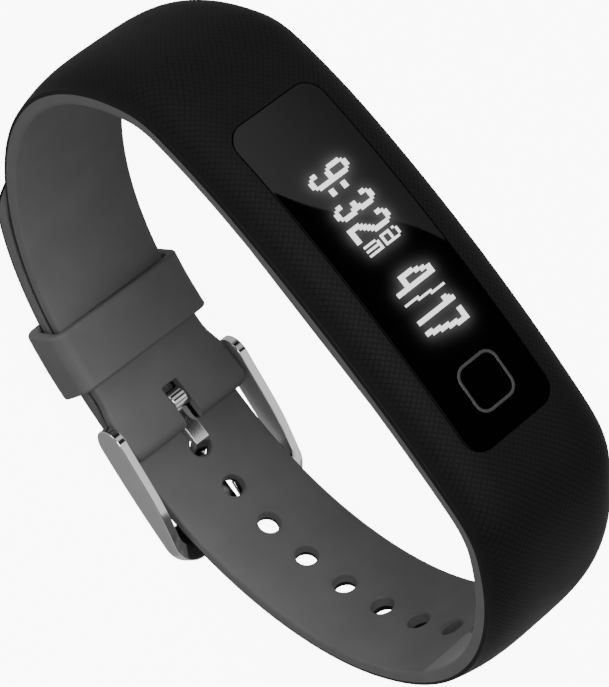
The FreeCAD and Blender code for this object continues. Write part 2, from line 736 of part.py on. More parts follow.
def make_flex():
    """Ribbon from the panel's end round to the board below it."""
    start = panel_x - panel_length / 2
    z_top = panel_z + 0.12
    z_low = board_z + board_thickness + 0.1
    radius = (z_top - z_low) / 2
    bend_x = start - 0.3
    middle = (z_top + z_low) / 2

    def outline(r):
        top = Part.makeLine(Vector(start - 0.02, 0, middle + r), Vector(bend_x, 0, middle + r))
        bend = Part.Arc(Vector(bend_x, 0, middle + r), Vector(bend_x - r, 0, middle), Vector(bend_x, 0, middle - r))
        low = Part.makeLine(Vector(bend_x, 0, middle - r), Vector(bend_x + flex_landing, 0, middle - r))
        return [top, bend.toShape(), low]
    outer = outline(radius + flex_half_thickness)
    inner = outline(radius - flex_half_thickness)
    ends = [Part.makeLine(outer[0].Vertexes[0].Point, inner[0].Vertexes[0].Point),
            Part.makeLine(outer[2].Vertexes[1].Point, inner[2].Vertexes[1].Point)]
    face = Part.Face(Part.Wire(Part.__sortEdges__(outer + inner + ends)))
    strip = face.extrude(Vector(0, flex_width, 0))
    strip.translate(Vector(0, -flex_width / 2, 0))
    return strip


def make_electrode():
    """Copper pad of the touch key, stuck under the lens."""
    pad = rounded_block(key_x, 0, key_size - 0.6, key_size - 0.6, 1.0, crown_z, crown_z + 4)
    return pad.common(loop_slab(lens_under - 0.12, lens_under - 0.01, 24))


def make_battery():
    return rounded_block(battery_x, 0, battery_length, battery_width, 0.9, tray_z + 0.3, board_z - 0.12)


def make_battery_pad():
    return rounded_block(battery_x - 6.0, 0, battery_pad_length, battery_width - 1.0, 0.5, tray_z, tray_z + 0.27)


def make_motor():
    """Coin vibration motor lying beside the battery."""
    body = Part.makeCylinder(motor_radius, motor_height, Vector(motor_x, 0, tray_z))
    leads = box(motor_x - motor_radius - 1.0, motor_x - motor_radius + 0.4, -1.2, 1.2, tray_z, tray_z + 0.2)
    return body.fuse(leads).removeSplitter()


# ---- all pieces ---------------------------------------------------------------------

def build():
    os.makedirs("parts", exist_ok=True)
    skin, lining, display_surface = make_band()
    save("band_outer", skin)
    save("band_lining", lining)
    save("keeper_loop", make_keeper())
    save("buckle_frame", make_frame())
    save("buckle_tongue", make_tongue())
    save("spring_bar_tube", make_bar_tube())
    save("spring_bar_tip_near", make_bar_tip(-1))
    save("spring_bar_tip_far", make_bar_tip(1))
    save("spring_bar_spring", make_bar_spring())
    lens, outline = make_lens(display_surface)
    save("display_lens", lens)
    save("touch_key_outline", outline)
    save("lens_tape", make_lens_tape())
    save("touch_electrode", make_electrode())
    save("pod_top_case", make_top_case())
    save("oled_panel", make_panel())
    save("display_flex", make_flex())
    save("main_board", make_board())
    save("processor_chip", chip(-6.0, 0, 4.5, 4.5, 0.7))
    save("radio_chip", chip(1.5, 0, 3.6, 3.6, 0.6))
    save("motion_sensor", chip(7.5, 0, 2.5, 2.5, 0.7))
    save("memory_chip", chip(-12.6, 0, 3.2, 4.0, 0.55))
    save("board_small_parts", make_small_parts())
    save("battery", make_battery())
    save("battery_pad", make_battery_pad())
    save("vibration_motor", make_motor())
    save("case_seal", frame_strip(pod_length - 1.0, pod_width - 1.0, pod_corner_radius - 0.5, 0.5,
                                  case_split_z - seal_thickness, case_split_z))
    save("pod_back_cover", make_back_cover())
    save("case_screws", make_screws())
    save("charging_contacts", make_contacts())


build()
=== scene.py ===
import json
import math

import bmesh
import bpy
import numpy as np
from mathutils import Matrix, Vector


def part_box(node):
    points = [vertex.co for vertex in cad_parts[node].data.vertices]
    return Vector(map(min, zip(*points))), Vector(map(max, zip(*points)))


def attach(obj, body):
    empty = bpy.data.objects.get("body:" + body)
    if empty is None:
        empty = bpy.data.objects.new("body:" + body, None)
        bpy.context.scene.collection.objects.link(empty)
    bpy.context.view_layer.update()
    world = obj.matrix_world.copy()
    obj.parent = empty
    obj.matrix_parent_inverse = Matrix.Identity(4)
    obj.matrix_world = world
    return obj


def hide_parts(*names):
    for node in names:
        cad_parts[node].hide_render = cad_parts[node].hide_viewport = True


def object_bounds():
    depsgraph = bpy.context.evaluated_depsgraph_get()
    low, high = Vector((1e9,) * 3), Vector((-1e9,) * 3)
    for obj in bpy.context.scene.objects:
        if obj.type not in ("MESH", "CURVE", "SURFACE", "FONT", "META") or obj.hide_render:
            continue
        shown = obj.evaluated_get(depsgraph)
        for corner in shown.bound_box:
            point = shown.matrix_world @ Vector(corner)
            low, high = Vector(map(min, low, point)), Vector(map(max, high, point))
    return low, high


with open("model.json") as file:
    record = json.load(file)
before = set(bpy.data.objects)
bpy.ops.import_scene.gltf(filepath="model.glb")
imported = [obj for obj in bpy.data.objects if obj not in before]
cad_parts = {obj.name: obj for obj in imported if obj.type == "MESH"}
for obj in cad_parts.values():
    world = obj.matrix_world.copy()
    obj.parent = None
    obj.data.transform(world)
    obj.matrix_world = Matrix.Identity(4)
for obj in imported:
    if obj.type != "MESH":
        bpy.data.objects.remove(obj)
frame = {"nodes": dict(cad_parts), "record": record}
cadLow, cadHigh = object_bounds()
mm = 0.001
print("frame loaded:", len(frame["nodes"]), "nodes")


# Camera: it looks down along +Y, rolled so that the display runs to the lower right
cameraPlan = {
    "aim": (-0.03, 3.28, 0.0),   # mm, in the part's own frame
    "distance": 310.0,
    "elevation": 62.19,
    "roll": 52.13,
    "focalLength": 165.9,
    "sensor": 36.0,
}


def makeCamera(plan):
    lens = bpy.data.cameras.new("camera")
    lens.lens = plan["focalLength"]
    lens.sensor_width = plan["sensor"]
    lens.clip_start = 0.01
    lens.clip_end = 20.0
    camera = bpy.data.objects.new("camera", lens)
    bpy.context.scene.collection.objects.link(camera)
    tilt = math.radians(plan["elevation"])
    forward = Vector((0.0, math.cos(tilt), -math.sin(tilt)))
    level = Vector((1.0, 0.0, 0.0))
    above = level.cross(forward)
    turn = math.radians(plan["roll"])
    right = level * math.cos(turn) + above * math.sin(turn)
    up = right.cross(forward)
    place = Matrix((right, up, -forward)).transposed().to_4x4()
    place.translation = (Vector(plan["aim"]) - forward * plan["distance"]) * mm
    camera.matrix_world = place
    bpy.context.scene.camera = camera


makeCamera(cameraPlan)
print("camera made")


# Band, in millimetres. The arcs (radius, degrees) follow the line between the grey and
# the black silicone, seen from the side, from the middle of the display to each end.
bandPlan = {
    "buckleArcs": ((140.0, 4.9), (56.6, 10.3), (8.0, 29.6), (25.8, 44.7), (28.8, 90.5)),
    "holeArcs": ((140.0, 8.3), (20.0, 4.7), (8.0, 30.8), (28.8, 91.7), (32.6, 44.5)),
    "displayWidth": 18.0,
    "strapWidth": 14.7,
    "taperStart": -10.4,
    "taperPower": 1.35,
    "lining": 1.23,
    "liningEdge": 0.38,
    "skinEdge": 0.36,
    "skinCorner": 0.14,
    "rolledSkinCorner": 0.3,     # added to it where the end is rolled
    "thinnest": 0.02,
    "displayCrown": 2.75,
    "strapCrown": 0.7,
    "crownFade": (18.0, 60.0),
    "displaySquareness": 5.5,
    "strapSquareness": 3.0,
    "layerGap": 0.12,
    "tipAngle": 60.0,
    "tipCorner": 5.5,
    "tipThin": 0.45,             # share of the thickness left at the very tip
    "tipEase": 0.5,
    "rolledLength": 4.33,
    "rolledHalfWidth": 8.0,
    "rolledCorner": 1.0,
    "rolledRamp": 1.7,
    "flare": 3.4,
    "step": 0.85,                # length of one ring of faces
    "closest": 0.004,
}
lensLow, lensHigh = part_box("display_lens")
crownX = (lensLow.x + lensHigh.x) / 2 / mm
crownZ = lensHigh.z / mm - bandPlan["displayCrown"]


def fade(value, start, end):
    t = min(max((value - start) / (end - start), 0.0), 1.0)
    return t * t * (3.0 - 2.0 * t)


def arcChain(x, z, heading, turn, arcs):
    # tangent arcs that all turn the same way, and where the last one ends
    pieces = []
    for radius, degrees in arcs:
        centreX = x - turn * radius * math.sin(heading)
        centreZ = z + turn * radius * math.cos(heading)
        angle = math.radians(degrees)
        pieces.append((centreX, centreZ, radius, heading, angle))
        heading += turn * angle
        x = centreX + turn * radius * math.sin(heading)
        z = centreZ - turn * radius * math.cos(heading)
    return pieces, x, z


def chainLength(pieces):
    return sum(piece[2] * piece[4] for piece in pieces)


buckleChain, buckleEndX, buckleEndZ = arcChain(crownX, crownZ, math.pi, 1, bandPlan["buckleArcs"])
loopX, loopZ, loopRadius = buckleChain[-1][:3]
tailRadius = loopRadius + bandPlan["strapCrown"] + bandPlan["layerGap"] + bandPlan["lining"]


def holeArcs():
    # the hole strap's own arcs, the one that joins it to the outside of the buckle strap, and its tail
    plan = bandPlan
    pieces, endX, endZ = arcChain(crownX, crownZ, 0.0, -1, plan["holeArcs"])
    drop = loopZ - tailRadius - endZ
    run = endX - loopX
    join = 2.0 * math.atan(drop / run)
    joinArc = (tailRadius + run / math.sin(join), math.degrees(join))
    tail = (tailRadius, plan["tipAngle"] - math.degrees(join))
    return plan["holeArcs"] + (joinArc, tail)


holeChain = arcChain(crownX, crownZ, 0.0, -1, holeArcs())[0]
buckleLength = chainLength(buckleChain)
holeLength = chainLength(holeChain)
bandStart = -(buckleLength + bandPlan["rolledLength"])


def placeOn(pieces, turn, distance):
    for centreX, centreZ, radius, heading, angle in pieces:
        if distance <= radius * angle:
            break
        distance -= radius * angle
    else:
        distance = radius * angle
    now = heading + turn * distance / radius
    normalX, normalZ = turn * math.sin(now), -turn * math.cos(now)
    return centreX + radius * normalX, centreZ + radius * normalZ, normalX, normalZ


def placeAt(along):
    # x, z and outward normal along the band: 0 at the display, negative towards the buckle
    if along < -buckleLength:
        return buckleEndX - along - buckleLength, buckleEndZ, 0.0, -1.0
    if along < 0:
        return placeOn(buckleChain, 1, -along)
    return placeOn(holeChain, -1, along)


def roundedEnd(left, radius):
    # share of a quarter circle: 0 at the very end, 1 from one radius inwards
    if left >= radius:
        return 1.0
    share = 1.0 - max(left, 0.0) / radius
    return math.sqrt(max(1.0 - share * share, 0.0))


def halfWidth(along):
    plan = bandPlan
    z = placeAt(along)[1]
    t = min(max((z - plan["taperStart"]) / (crownZ - plan["taperStart"]), 0.0), 1.0)
    wider = plan["displayWidth"] - plan["strapWidth"]
    half = 0.5 * (plan["strapWidth"] + wider * t ** plan["taperPower"])
    if along < 0:
        before = max(buckleLength + along, 0.0)
        half += (plan["rolledHalfWidth"] - half) * (1.0 - fade(before, 0.0, plan["flare"]))
        return half - plan["rolledCorner"] * (1.0 - roundedEnd(along - bandStart, plan["rolledCorner"]))
    return half - plan["tipCorner"] * (1.0 - roundedEnd(holeLength - along, plan["tipCorner"]))


def rolledShare(along):
    return fade(-along - buckleLength, 0.0, bandPlan["rolledRamp"]) if along < 0 else 0.0


def endShare(along):
    # the rolled nose is a half round, the hole strap's tip is eased
    if along < 0:
        return max(roundedEnd(along - bandStart, bandPlan["lining"]), bandPlan["thinnest"])
    thin = bandPlan["tipThin"]
    return thin + (1.0 - thin) * roundedEnd(holeLength - along, bandPlan["tipEase"])


def skinHeight(share, along):
    plan = bandPlan
    faded = fade(abs(along), *plan["crownFade"])
    crown = plan["displayCrown"] + (plan["strapCrown"] - plan["displayCrown"]) * faded
    power = plan["displaySquareness"] + (plan["strapSquareness"] - plan["displaySquareness"]) * faded
    plain = plan["skinEdge"] + (crown - plan["skinEdge"]) * (1.0 - abs(share) ** power)
    return plain + (plan["lining"] - plain) * rolledShare(along)


def skinProfile(along):
    # (across, height) round the black skin's section
    plan = bandPlan
    half = halfWidth(along)
    corner = plan["skinCorner"] + plan["rolledSkinCorner"] * rolledShare(along)
    inner = 1.0 - corner / half
    top = []
    count = 30
    for k in range(count + 1):
        share = inner * math.sin(math.pi / 2 * (2.0 * k / count - 1.0))
        top.append((half * share, skinHeight(share, along)))
    edge = top[-1][1]
    below = max(edge - corner, plan["thinnest"])
    soft = corner * (1.0 - math.sqrt(0.5))
    left = [(-half, 0.0), (-half, below), (soft - half, edge - soft)]
    right = [(half - soft, edge - soft), (half, below), (half, 0.0)]
    scale = endShare(along)
    return [(across, height * scale) for across, height in left + top + right]


def liningProfile(along):
    half = halfWidth(along)
    thick = bandPlan["lining"] * endShare(along)
    radius = min(bandPlan["liningEdge"], 0.9 * thick)
    flat = half - radius
    points = [(-half, 0.0), (half, 0.0)]
    steps = 4
    for k in range(steps + 1):
        turn = math.pi / 2 * k / steps
        points.append((flat + radius * math.cos(turn), radius - thick - radius * math.sin(turn)))
    for k in range(1, 10):
        points.append((flat * (1.0 - k / 5.0), -thick))
    for k in range(steps + 1):
        turn = math.pi / 2 * (1.0 - k / steps)
        points.append((-flat - radius * math.cos(turn), radius - thick - radius * math.sin(turn)))
    return points


def ringPlaces():
    # even steps along the band, closer together at the two rounded ends
    plan = bandPlan
    count = round((holeLength - bandStart) / plan["step"])
    places = [bandStart + (holeLength - bandStart) * k / count for k in range(count + 1)]
    for radius, end, side in ((plan["lining"], bandStart, 1.0), (plan["tipCorner"], holeLength, -1.0),
                              (plan["tipEase"], holeLength, -1.0)):
        places += [end + side * radius * (1.0 - math.cos(math.pi / 2 * k / 10)) for k in range(11)]
    places.sort()
    kept = places[:1]
    for place in places[1:]:
        if place - kept[-1] > plan["closest"]:
            kept.append(place)
    return kept


def newObject(name, vertices, faces):
    mesh = bpy.data.meshes.new(name)
    mesh.from_pydata([Vector(v) * mm for v in vertices], [], faces)
    made = bpy.data.objects.new(name, mesh)
    bpy.context.scene.collection.objects.link(made)
    return made


def faceOutwards(made):
    shape = bmesh.new()
    shape.from_mesh(made.data)
    bmesh.ops.recalc_face_normals(shape, faces=shape.faces)
    shape.to_mesh(made.data)
    shape.free()
    return made


def ringFaces(ringCount, size, closed=True):
    faces = []
    for ring in range(ringCount - 1):
        for k in range(size):
            near, far = ring * size, (ring + 1) * size
            faces.append((near + k, near + (k + 1) % size, far + (k + 1) % size, far + k))
    if closed:
        faces.append(tuple(range(size))[::-1])
        faces.append(tuple((ringCount - 1) * size + k for k in range(size)))
    return faces


def sweptBand(name, profile):
    vertices = []
    places = ringPlaces()
    for along in places:
        x, z, normalX, normalZ = placeAt(along)
        points = profile(along)
        vertices += [(x + normalX * height, across, z + normalZ * height) for across, height in points]
    return faceOutwards(newObject(name, vertices, ringFaces(len(places), len(points))))


def roundedOutline(middleX, length, width, radius, steps=8):
    points = []
    for sideX, sideY, start in ((1, 1, 0), (-1, 1, 90), (-1, -1, 180), (1, -1, 270)):
        for k in range(steps + 1):
            turn = math.radians(start + 90.0 * k / steps)
            points.append((middleX + sideX * (length / 2 - radius) + radius * math.cos(turn),
                           sideY * (width / 2 - radius) + radius * math.sin(turn)))
    return points


def blockCutter(middleX, length, width, radius, low, high):
    outline = roundedOutline(middleX, length, width, radius)
    vertices = [(x, y, z) for z in (low, high) for x, y in outline]
    return faceOutwards(newObject("cutter", vertices, ringFaces(2, len(outline))))


def turnedCutter(profile, origin, axis, steps=36):
    # profile is (radius, height) pairs along the axis
    axis = Vector(axis).normalized()
    side = axis.cross(Vector((0, 1, 0)) if abs(axis.y) < 0.9 else Vector((1, 0, 0))).normalized()
    other = axis.cross(side)
    vertices = []
    for radius, height in profile:
        for k in range(steps):
            turn = 2 * math.pi * k / steps
            out = side * math.cos(turn) + other * math.sin(turn)
            vertices.append(Vector(origin) + axis * height + out * radius)
    return faceOutwards(newObject("cutter", vertices, ringFaces(len(profile), steps)))


def cutAway(made, cutters):
    for cutter in cutters:
        tool = made.modifiers.new("cut", "BOOLEAN")
        tool.operation = "DIFFERENCE"
        tool.solver = "EXACT"
        tool.object = cutter
    bakeModifiers(made)
    for cutter in cutters:
        bpy.data.objects.remove(cutter)


def bakeModifiers(made):
    bpy.context.view_layer.update()
    graph = bpy.context.evaluated_depsgraph_get()
    mesh = bpy.data.meshes.new_from_object(made.evaluated_get(graph), depsgraph=graph)
    made.modifiers.clear()
    old = made.data
    made.data = mesh
    bpy.data.meshes.remove(old)
    mesh.name = made.name


def shadeSoft(made, degrees=32.0):
    made.data.shade_smooth()
    made.data.set_sharp_from_angle(angle=math.radians(degrees))
    return made


# Adjustment holes and the other openings in the band
openingPlan = {
    "holeRadius": 1.2,
    "pitch": 5.65,
    "tongueHoleX": 1.7,
    "towardsTip": 3,
    "towardsDisplay": 8,
    "rim": 0.28,                 # how far a hole's rim is rounded over
    "slotHalfWidth": 1.08,
    "slotLength": 4.8,
    "boreRadius": 0.72,
    "pivotFromEnd": 3.0,
    "podLength": 43.4,
    "podWidth": 14.9,
    "podCorner": 3.3,
    "podHeights": (12.0, 26.9),
    "windowLength": 36.5,
    "windowWidth": 11.1,
    "windowCorner": 2.1,
    "windowHeights": (20.0, 34.0),
    "slotCorner": 0.25,
    "slotHeights": (-1.6, 2.0),  # from the spring bar's axis
    "rimSteps": 6,
    "cutterReach": 0.5,          # how far a hole's cutter stands out of the strap
    "boreHalf": 12.0,
}
pivotX = buckleEndX + bandPlan["rolledLength"] - openingPlan["pivotFromEnd"]
pivotZ = buckleEndZ


def holePlaces():
    plan = openingPlan
    endOfArcs = chainLength(holeChain[:5])
    middle = endOfArcs + holeChain[5][0] - plan["tongueHoleX"]
    return [middle + plan["pitch"] * k for k in range(-plan["towardsDisplay"], plan["towardsTip"] + 1)]


def holeCutter(along):
    # a round hole whose rims roll over into both faces of the strap
    plan = openingPlan
    x, z, normalX, normalZ = placeAt(along)
    low = -bandPlan["lining"]
    high = skinHeight(0.0, along)
    rim = plan["rim"]
    steps = plan["rimSteps"]
    rounded = []
    for k in range(steps + 1):
        turn = math.pi / 2 * k / steps
        rounded.append((plan["holeRadius"] + rim * (1 - math.sin(turn)), rim * (1 - math.cos(turn))))
    wide = plan["holeRadius"] + rim
    profile = [(wide, low - plan["cutterReach"])]
    profile += [(radius, low + inwards) for radius, inwards in rounded]
    profile += [(radius, high - inwards) for radius, inwards in reversed(rounded)]
    profile.append((wide, high + plan["cutterReach"]))
    return turnedCutter(profile, (x, 0.0, z), (normalX, 0.0, normalZ))


def bandCutters():
    plan = openingPlan
    noseX = pivotX + plan["pivotFromEnd"]
    slotLow, slotHigh = (pivotZ + height for height in plan["slotHeights"])
    bore = [(plan["boreRadius"], side * plan["boreHalf"]) for side in (-1, 1)]
    cutters = [
        blockCutter(crownX, plan["podLength"], plan["podWidth"], plan["podCorner"], *plan["podHeights"]),
        blockCutter(crownX, plan["windowLength"], plan["windowWidth"], plan["windowCorner"],
                    *plan["windowHeights"]),
        blockCutter(noseX, 2 * plan["slotLength"], 2 * plan["slotHalfWidth"], plan["slotCorner"],
                    slotLow, slotHigh),
        turnedCutter(bore, (pivotX, 0, pivotZ), (0, 1, 0)),
    ]
    return cutters + [holeCutter(along) for along in holePlaces()]


def markBandPlaces(made):
    # each vertex keeps its distance along the band, across it, and its share of the half width
    points = np.array([v.co for v in made.data.vertices]) / mm
    best = np.full(len(points), 1e9)
    along = np.zeros(len(points))
    for pieces, turn, side in ((buckleChain, 1, -1.0), (holeChain, -1, 1.0)):
        travelled = 0.0
        for centreX, centreZ, radius, heading, angle in pieces:
            outX, outZ = points[:, 0] - centreX, points[:, 2] - centreZ
            startX, startZ = turn * math.sin(heading), -turn * math.cos(heading)
            dot = outX * startX + outZ * startZ
            cross = outX * startZ - outZ * startX
            turned = np.clip(-turn * np.arctan2(cross, dot), 0.0, angle)
            now = heading + turn * turned
            missX = outX - radius * turn * np.sin(now)
            missZ = outZ + radius * turn * np.cos(now)
            miss = np.hypot(missX, missZ)
            nearer = miss < best
            best = np.where(nearer, miss, best)
            along = np.where(nearer, side * (travelled + radius * turned), along)
            travelled += radius * angle
    rolled = (along < 1e-6 - buckleLength) & (points[:, 0] > buckleEndX)
    along = np.where(rolled, along - points[:, 0] + buckleEndX, along)
    places = np.zeros((len(points), 3), np.float32)
    places[:, 0] = along
    places[:, 1] = points[:, 1]
    places[:, 2] = [abs(y) / halfWidth(w) for y, w in zip(points[:, 1], along)]
    attribute = made.data.attributes.new("bandPlace", "FLOAT_VECTOR", "POINT")
    attribute.data.foreach_set("vector", places.ravel())


def makeBand():
    skin = sweptBand("bandSkin", skinProfile)
    lining = sweptBand("bandLining", liningProfile)
    for made, node, slot in ((skin, "band_outer", "black_silicone"),
                             (lining, "band_lining", "grey_silicone")):
        cutAway(made, bandCutters())
        markBandPlaces(made)
        shadeSoft(made, 38.0)
        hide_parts(node)
        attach(made, "band")
    return skin, lining


skin, lining = makeBand()
print("band made:", len(skin.data.polygons), "and", len(lining.data.polygons), "faces")


# Display: cover lens flush with the skin, lit characters and the touch key's ring
displayPlan = {
    "length": 36.3,
    "width": 10.9,
    "corner": 2.0,
    "thickness": 0.9,
    "edge": 0.07,                # the lens's rounded rim
    "columns": 150,
    "rows": 44,
    "cornerSteps": 12,
    "dotWidth": 0.23,
    "dotHeight": 0.294,
    "textTop": 2.46,
    "textLift": 0.012,
    "haloReach": 0.42,
    "haloStrength": 0.11,
    "wideHalo": (0.25, 4.0),     # share of a second halo, and its squared reach against the first
    "keyX": 13.25,               # from the lens's middle
    "keySize": 4.9,
    "keyLine": 0.3,
    "keyCorner": 1.3,
    "keySlope": 0.03,            # of the ring's sides
    "keySink": 0.002,
}
characters = {
    "9": "..###.. .#####. ##...## ##...## ##...## ##...## ##...## .###### ..##### "
         ".....## .....## .....## ##...## ##...## .#####. ..###..",
    ":": "... ... ... ... ... ### ### ... ... ... ### ### ... ... ... ...",
    "3": "..###.. .#####. ##...## ##...## .....## .....## ....### ..####. ..####. "
         "....### .....## .....## ##...## ##...## .#####. ..###..",
    "2": "..###.. .#####. ##...## ##...## .....## .....## .....## ....### ...###. "
         "..###.. .###... ###.... ##..... ##..... ####### #######",
    "am": "..... .###. #...# ....# ##### #...# #...# ##### ..... .#### #.#.# #.#.# #.#.# #.#.# #.#.#",
    "4": "...#### ...#### ..##.## ..##.## .##..## .##..## ##...## ##...## ##...## "
         "##...## ####### ####### .....## .....## .....## .....##",
    "/": "..# ..# ..# ..# ..# .## .#. .#. .#. .#. ##. #.. #.. #.. #.. #..",
    "1": "..## .### #### #### ..## ..## ..## ..## ..## ..## ..## ..## ..## ..## ..## ..##",
    "7": "###### ###### ....## ....## ...### ...##. ...##. ..###. ..##.. ..##.. .###.. .##... .##... "
         "###... ##.... ##....",
}
# each character and where it starts, in millimetres from the lens's middle
readout = (("9", -10.72), (":", -8.73), ("3", -7.16), ("2", -4.88), ("am", -2.84),
           ("4", 1.1), ("/", 3.48), ("1", 4.85), ("7", 6.49))


def surfaceZ(x, y):
    # height of the band's outer surface above a point of its plan, near the display
    along = x - crownX
    for attempt in range(8):
        px, pz, normalX, normalZ = placeAt(along)
        height = skinHeight(y / halfWidth(along), along)
        along += x - px - normalX * height
    return pz + normalZ * height


def litDots():
    # left end and top of each lit dot
    plan = displayPlan
    found = []
    for name, start in readout:
        for row, line in enumerate(characters[name].split()):
            top = plan["textTop"] - row * plan["dotHeight"]
            for column, mark in enumerate(line):
                if mark == "#":
                    found.append((crownX + start + column * plan["dotWidth"], top))
    return found


def lensHalfWidth(fromMiddle):
    plan = displayPlan
    straight = plan["length"] / 2 - plan["corner"]
    past = min(max(abs(fromMiddle) - straight, 0.0) / plan["corner"], 1.0)
    return plan["width"] / 2 - plan["corner"] * (1.0 - math.sqrt(1.0 - past * past))


def makeLens():
    plan = displayPlan
    columns = [plan["length"] * (k / plan["columns"] - 0.5) for k in range(plan["columns"] + 1)]
    straight = plan["length"] / 2 - plan["corner"]
    turns = [math.sin(math.pi / 2 * k / plan["cornerSteps"]) for k in range(plan["cornerSteps"] + 1)]
    columns += [side * (straight + plan["corner"] * turn) for turn in turns for side in (-1, 1)]
    columns = sorted(set(round(c, 4) for c in columns))
    shares = [2.0 * k / plan["rows"] - 1.0 for k in range(plan["rows"] + 1)]
    rim = plan["edge"]
    vertices = []
    size = len(shares) + 4
    for index, fromMiddle in enumerate(columns):
        half = lensHalfWidth(fromMiddle)
        x = crownX + fromMiddle
        atEnd = index in (0, len(columns) - 1)
        line = [(-half, -plan["thickness"]), (-half, -rim)]
        line += [(share * (half - rim * 0.8), 0.0) for share in shares]
        line += [(half, -rim), (half, -plan["thickness"])]
        for y, drop in line:
            lowered = min(drop, -rim) if atEnd else drop
            vertices.append((x, y, surfaceZ(x, y) + lowered))
    faces = ringFaces(len(columns), size)
    lens = faceOutwards(newObject("coverLens", vertices, faces))
    lit = np.array(litDots()) + (plan["dotWidth"] / 2, -plan["dotHeight"] / 2)
    points = np.array([v.co for v in lens.data.vertices])[:, :2] / mm
    apart = ((points[:, None, :] - lit[None, :, :]) ** 2).sum(2)
    reach = 2.0 * plan["haloReach"] ** 2
    wideShare, wideReach = plan["wideHalo"]
    near = np.exp(-apart / reach).sum(1) + wideShare * np.exp(-apart / (reach * wideReach)).sum(1)
    share = near * plan["dotWidth"] * plan["dotHeight"] / (math.pi * reach)
    attribute = lens.data.attributes.new("glow", "FLOAT", "POINT")
    attribute.data.foreach_set("value", (share * plan["haloStrength"]).astype(np.float32))
    shadeSoft(lens, 30.0)
    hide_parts("display_lens")
    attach(lens, "pod")
    return lens


def makeReadout():
    plan = displayPlan
    vertices, faces = [], []
    for x, y in litDots():
        right, low = x + plan["dotWidth"], y - plan["dotHeight"]
        corners = ((x, y), (right, y), (right, low), (x, low))
        first = len(vertices)
        vertices += [(cx, cy, surfaceZ(cx, cy) + plan["textLift"]) for cx, cy in corners]
        faces.append((first + 3, first + 2, first + 1, first))
    made = newObject("litCharacters", vertices, faces)
    shape = bmesh.new()
    shape.from_mesh(made.data)
    bmesh.ops.remove_doubles(shape, verts=shape.verts, dist=1e-6)
    bmesh.ops.recalc_face_normals(shape, faces=shape.faces)
    shape.to_mesh(made.data)
    shape.free()
    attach(made, "pod")
    return made


def makeKeyRing():
    plan = displayPlan
    x = crownX + plan["keyX"]
    outlines = []
    slope, line, lift = plan["keySlope"], plan["keyLine"], plan["textLift"]
    for inset, raised in ((0.0, 0.0), (slope, lift), (line - slope, lift), (line, 0.0)):
        size = plan["keySize"] - 2 * inset
        outline = roundedOutline(x, size, size, plan["keyCorner"] - inset)
        height = raised - plan["keySink"]
        outlines.append([(px, py, surfaceZ(px, py) + height) for px, py in outline])
    size = len(outlines[0])
    made = newObject("keyRing", sum(outlines, []), ringFaces(len(outlines), size, closed=False))
    shadeSoft(faceOutwards(made))
    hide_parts("touch_key_outline")
    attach(made, "pod")
    return made


lens = makeLens()
characterPiece = makeReadout()
keyRing = makeKeyRing()
print("display made:", len(characterPiece.data.polygons), "lit dots")


# Pieces that keep their designed shape and get softened edges: name, body, slot, and the
# softening's width (mm) and segments
softenPlan = {
    "keeper_loop": ("keeperLoop", "keeper", "grey_silicone", 0.5, 5),
    "buckle_frame": ("buckleFrame", "buckle", "polished_steel", 0.2, 3),
    "buckle_tongue": ("buckleTongue", "tongue", "polished_steel", 0.16, 3),
    "spring_bar_tip_near": ("barTipNear", "bar_tip_near", "polished_steel", 0.06, 2),
    "spring_bar_tip_far": ("barTipFar", "bar_tip_far", "polished_steel", 0.06, 2),
    "spring_bar_tube": ("barTube", "band", "polished_steel", 0.05, 2),
    "pod_top_case": ("podTopCase", "pod", "case_plastic", 0.12, 2),
    "pod_back_cover": ("podBackCover", "pod", "case_plastic", 0.1, 2),
    "battery": ("batteryCell", "pod", "battery_foil", 0.35, 3),
    "vibration_motor": ("vibrationMotor", "pod", "motor_can", 0.12, 2),
    "case_screws": ("caseScrews", "pod", "screw_steel", 0.04, 2),
    "charging_contacts": ("chargingContacts", "pod", "gold_plate", 0.08, 2),
}


softenLimits = {
    "merge": 2e-7,               # m
    "flat": 0.2,                 # degrees: edges flatter than this are dissolved
    "round": 42.0,               # edges sharper than this are rounded
    "sharp": 44.0,               # edges sharper than this stay sharp in the shading
}


def softened(node, name, body, slot, width, segments):
    plan = softenLimits
    shape = bmesh.new()
    shape.from_mesh(frame["nodes"][node].data)
    bmesh.ops.remove_doubles(shape, verts=shape.verts, dist=plan["merge"])
    bmesh.ops.dissolve_limit(shape, angle_limit=math.radians(plan["flat"]), verts=shape.verts,
                             edges=shape.edges)
    for edge in shape.edges:
        edge.smooth = True
    mesh = bpy.data.meshes.new(name)
    shape.to_mesh(mesh)
    shape.free()
    made = bpy.data.objects.new(name, mesh)
    bpy.context.scene.collection.objects.link(made)
    bevel = made.modifiers.new("soften", "BEVEL")
    bevel.width = width * mm
    bevel.segments = segments
    bevel.limit_method = "ANGLE"
    bevel.angle_limit = math.radians(plan["round"])
    shadeSoft(made, plan["sharp"])
    weigh = made.modifiers.new("weigh", "WEIGHTED_NORMAL")
    weigh.keep_sharp = True
    bakeModifiers(made)
    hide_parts(node)
    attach(made, body)
    return made


softPieces = {node: softened(node, *how) for node, how in softenPlan.items()}
print("softened pieces made:", len(softPieces))


